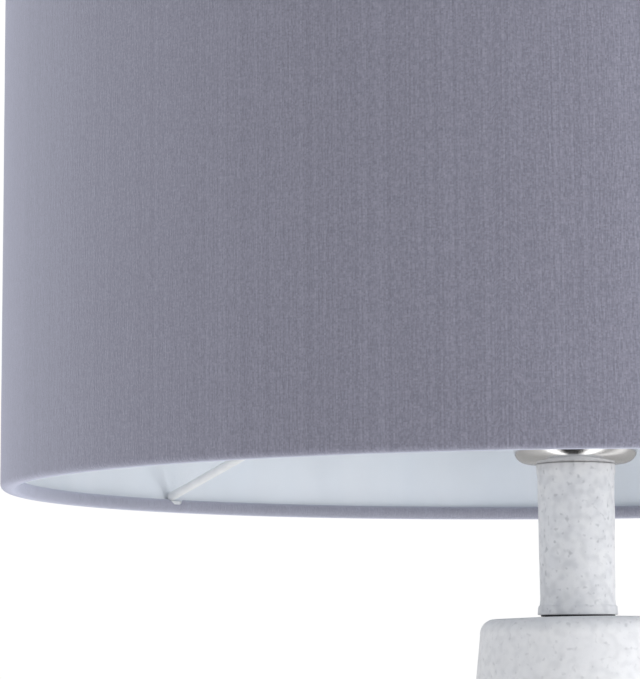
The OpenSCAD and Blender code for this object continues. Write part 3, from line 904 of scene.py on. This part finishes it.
def cloth_line(by):
    """The cloth's whole middle line at one place round the drum. The last stretch lies over the beginning."""
    turn = seam_turn + by
    over = (by * shade_r - 2 * math.pi * shade_r) / MM
    out = min(1, max(0, (over + 4) / 4)) * (cloth_t * 0.98)
    lower = [(r, shade_low.z + z) for r, z in hem(turn, True)]
    upper = [(r, shade_high.z - z) for r, z in reversed(hem(turn, False))]
    wall = split(lower[-1], upper[0], 40)[1:]
    wall = [(r + 0.06 * MM * noise.noise(Vector((math.cos(turn) * 9, math.sin(turn) * 9, z * 60))), z) for r, z in wall]
    line = lower + wall + upper
    return [(r + out * min(1, max(0, (r - wire_ring_r) / (shade_r - wire_ring_r))), z) for r, z in line]


cloth = strip("shade_cover_cloth", cloth_line, cloth_t, seam_turn, film_sweep, 840, shade_r)
fit(cloth, "shade", "shade_cloth", grey_cloth(), "shade_cover")
one_line = cloth_line(3.0)

# ---------------------------------------------------------------------------
# Bulb: an opal glass globe on a nickel-plated screw cap, with a black glass insulator
# and a soldered contact below. The stem and the filaments stand inside the globe.
# ---------------------------------------------------------------------------
glass_low, glass_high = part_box("bulb_glass")
globe_r = glass_high.x
globe = (0, glass_high.z - globe_r)
glass_t = 0.9 * MM
glass_neck_r = 13.5 * MM
glass_seal_r = 12 * MM
bulb_cap_low, bulb_cap_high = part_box("bulb_cap")
glass_neck_z = bulb_cap_high.z + joined
stem_r = 4 * MM
skirt_angle = -38


def glass_side(inward, steps=22):
    """One face of the glass, so far in from its outside, from its neck up over the crown."""
    skirt = arc(globe, globe_r, skirt_angle, skirt_angle, 1)[0]
    low = glass_neck_z + 4 * MM
    side = [(glass_neck_r - inward, glass_neck_z + inward)]
    for i in range(steps):
        t = i / steps
        swell = 0.45 * t * t * (3 - 2 * t) + 0.55 * t * t
        side.append((glass_neck_r - inward + (skirt[0] - glass_neck_r) * swell, low + (skirt[1] - low) * t))
    return side + arc(globe, globe_r - inward, skirt_angle, 90, 48)


# White opal glass: a smooth outer skin over a milky body.
opal = clouded("opal_glass", (0.91, 0.91, 0.89), (0.86, 0.865, 0.85), (14, 0.3, 0.7), 0.22, None, 0.05,
               Coat_Weight=0.6, Coat_Roughness=0.06)
outer_skin = glass_side(0)[:-1] + [(0, glass_high.z)]
inner_skin = list(reversed(glass_side(glass_t)[:-1]))
stem_hole_r = stem_r + joined
glass_outline = ([(stem_hole_r, glass_low.z), (glass_seal_r, glass_low.z), (glass_seal_r, glass_neck_z)] + outer_skin
                 + [(0, glass_high.z - glass_t)] + inner_skin + [(stem_hole_r, glass_neck_z + glass_t)])
fit(turned("bulb_glass_blown", glass_outline, 128), "bulb", "opal_glass", opal, "bulb_glass")

nickel = metal("nickel_plate", (0.66, 0.65, 0.62), 0.22, (1, 1, 4), 0.2)
cap_z = bulb_cap_low.z
collar_z = glass_neck_z - 4 * MM
bulb_cap_r = bulb_cap_high.x
bulb_thread_depth = 0.75 * MM


def bulb_thread(r, z, angle):
    """The rolled screw of the bulb's cap, which fades out under its collar."""
    if r < bulb_cap_r - 0.02 * MM or z > collar_z:
        return r, z
    fade = min(1, (collar_z - z) / (2 * MM), max(0, (z - cap_z) / (2 * MM)))
    return r - bulb_thread_depth * fade * thread_wave(z, angle, bulb_pitch), z


cap_rows = int((collar_z - cap_z) / bulb_pitch * 12)
cap_in_r, cap_top_z = glass_seal_r + snug, glass_neck_z - snug
bulb_cap_outline = ([(cap_in_r, cap_z + 1 * MM), (glass_seal_r - 1 * MM, cap_z + 0.1 * MM),
                     (bulb_cap_r - 1 * MM, cap_z)]
                    + split((bulb_cap_r, cap_z + 0.8 * MM), (bulb_cap_r, collar_z), cap_rows)
                    + [(bulb_cap_r, collar_z), (bulb_cap_r, glass_neck_z - 0.5 * MM),
                       (bulb_cap_r - 0.3 * MM, cap_top_z), (cap_in_r, cap_top_z)])
fit(turned("bulb_cap_rolled", bulb_cap_outline, 128, bulb_thread), "bulb", "bulb_metal", nickel, "bulb_cap")


# Black vitrite with a few bubbles, clear glass with faint draw lines, and the filaments' grainy yellow coat.
vitrite = clouded("black_glass", (0.012, 0.012, 0.016), (0.04, 0.04, 0.05), (1.5, 0.45, 0.7), 0.12, None, 0.05,
                  Coat_Weight=0.5)
clear = clouded("clear_glass", (0.95, 0.97, 0.97), (0.88, 0.92, 0.92), (2, 0.3, 0.7), 0.05, stretch=(1, 1, 0.2),
                Transmission_Weight=0.9, IOR=1.5)
phosphor = clouded("phosphor", (0.83, 0.66, 0.18), (0.7, 0.5, 0.1), (0.4, 0.3, 0.7), 0.6, None, 0.04)
for name, finish in (("bulb_insulator", vitrite), ("bulb_contact", nickel), ("bulb_stem", clear),
                     ("bulb_filaments", phosphor)):
    dress(name, finish)

# ---------------------------------------------------------------------------
# Studio: a wide pale floor, a white surround, and three tall soft lights. The strong
# one stands to the right. In front, where the camera is, and low down, it is darker.
# ---------------------------------------------------------------------------
floor_r = 12.0
floor_sides = 96
under_felt = -0.0002
floor_edge = arc((0, 0), floor_r, 0, 360, floor_sides)[:-1]
floor = mesh_piece("floor", [(x, y, under_felt) for x, y in floor_edge], [tuple(range(floor_sides))])
floor.data.materials.append(clouded("floor_paper", (0.9, 0.9, 0.9), (0.88, 0.88, 0.885), (40, 0.3, 0.7), 0.9,
                                    Emission_Color=(1, 1, 1, 1), Emission_Strength=0.18))
floor.visible_glossy = False


aimed_at = 0.3


def soft_light(name, azimuth, distance, height, width, tall, brightness):
    """A tall soft light that faces the lamp. azimuth is in degrees from the front, to the right."""
    lamp = bpy.data.lights.new(name, "AREA")
    lamp.shape = "RECTANGLE"
    lamp.size, lamp.size_y = width, tall
    lamp.energy = brightness * math.pi * width * tall
    lamp_object = bpy.data.objects.new(name, lamp)
    bpy.context.collection.objects.link(lamp_object)
    a = math.radians(azimuth)
    spot = Vector((distance * math.sin(a), -distance * math.cos(a), height))
    lamp_object.location = spot
    lamp_object.rotation_mode = "QUATERNION"
    lamp_object.rotation_quaternion = (Vector((0, 0, aimed_at)) - spot).to_track_quat("-Z", "Y")


soft_light("left_light", -62, 1.9, 0.7, 1.0, 1.1, 1.9)
soft_light("front_right_light", 41, 1.9, 0.5, 0.7, 1.1, 1.6)
soft_light("key_light", 73, 1.8, 0.55, 0.7, 1.1, 9.5)

world = bpy.data.worlds.new("studio")
world.use_nodes = True
bpy.context.scene.world = world
air, wires = world.node_tree.nodes, world.node_tree.links
air.clear()


def reckon(operation, first, second=None):
    """The result of one step of arithmetic on sockets or numbers."""
    step = node(air, "ShaderNodeMath", operation=operation)
    for socket, value in zip(step.inputs, (first, second)):
        if isinstance(value, bpy.types.NodeSocket):
            wires.new(value, socket)
        elif value is not None:
            socket.default_value = value
    return step.outputs[0]


def round_about(stops, share):
    """Brightness by azimuth in degrees from the front, to the right, as a ramp with a stop at each pair."""
    ramp = air.new("ShaderNodeValToRGB")
    bands = ramp.color_ramp
    while len(bands.elements) < len(stops):
        bands.elements.new(0.5)
    for band, (azimuth, brightness) in zip(bands.elements, stops):
        band.position = (azimuth + 180) / 360
        band.color = (brightness, brightness, brightness, 1)
    wires.new(share, ramp.inputs["Fac"])
    return ramp.outputs["Color"]


sky = air.new("ShaderNodeTexCoord")
ways = air.new("ShaderNodeSeparateXYZ")
wires.new(sky.outputs["Generated"], ways.inputs["Vector"])
from_front = reckon("ARCTAN2", ways.outputs[0], reckon("MULTIPLY", ways.outputs[1], -1.0))
azimuth_share = reckon("ADD", reckon("DIVIDE", from_front, 2 * math.pi), 0.5)
high_part = round_about([(-180, 0.95), (-120, 0.85), (-75, 0.5), (-40, 0.25), (-10, 0.18), (20, 0.27), (60, 0.7),
                         (110, 0.9), (180, 0.95)], azimuth_share)
low_part = round_about([(-180, 0.42), (-124, 0.45), (-87, 0.62), (-64, 0.72), (-57, 2.2), (-40, 2.2), (-33, 0.04),
                        (8, 0.05), (22, 0.07), (28, 2.2), (52, 2.2), (60, 0.55), (80, 0.50), (90, 1.1), (106, 1.1),
                        (118, 0.55), (180, 0.4)], azimuth_share)
table_part = (0.50, 0.49, 0.485)


def by_height(low, high, below, above):
    """below under one height of view and above over the other, where 0 is level and 1 is straight up."""
    return tint(air, wires, spread_out(air, wires, ways.outputs[2], low, high), below, above)


surround = by_height(0.0, 0.12, by_height(-0.998, -0.975, table_part, low_part), high_part)
lit = air.new("ShaderNodeBackground")
wires.new(surround, lit.inputs["Color"])
seen = node(air, "ShaderNodeBackground", color=(1, 1, 1, 1), strength=1.02)
path = air.new("ShaderNodeLightPath")
either = air.new("ShaderNodeMixShader")
wires.new(path.outputs["Is Camera Ray"], either.inputs[0])
wires.new(lit.outputs[0], either.inputs[1])
wires.new(seen.outputs[0], either.inputs[2])
out = air.new("ShaderNodeOutputWorld")
wires.new(either.outputs[0], out.inputs["Surface"])
bpy.context.scene.view_settings.view_transform = "Standard"
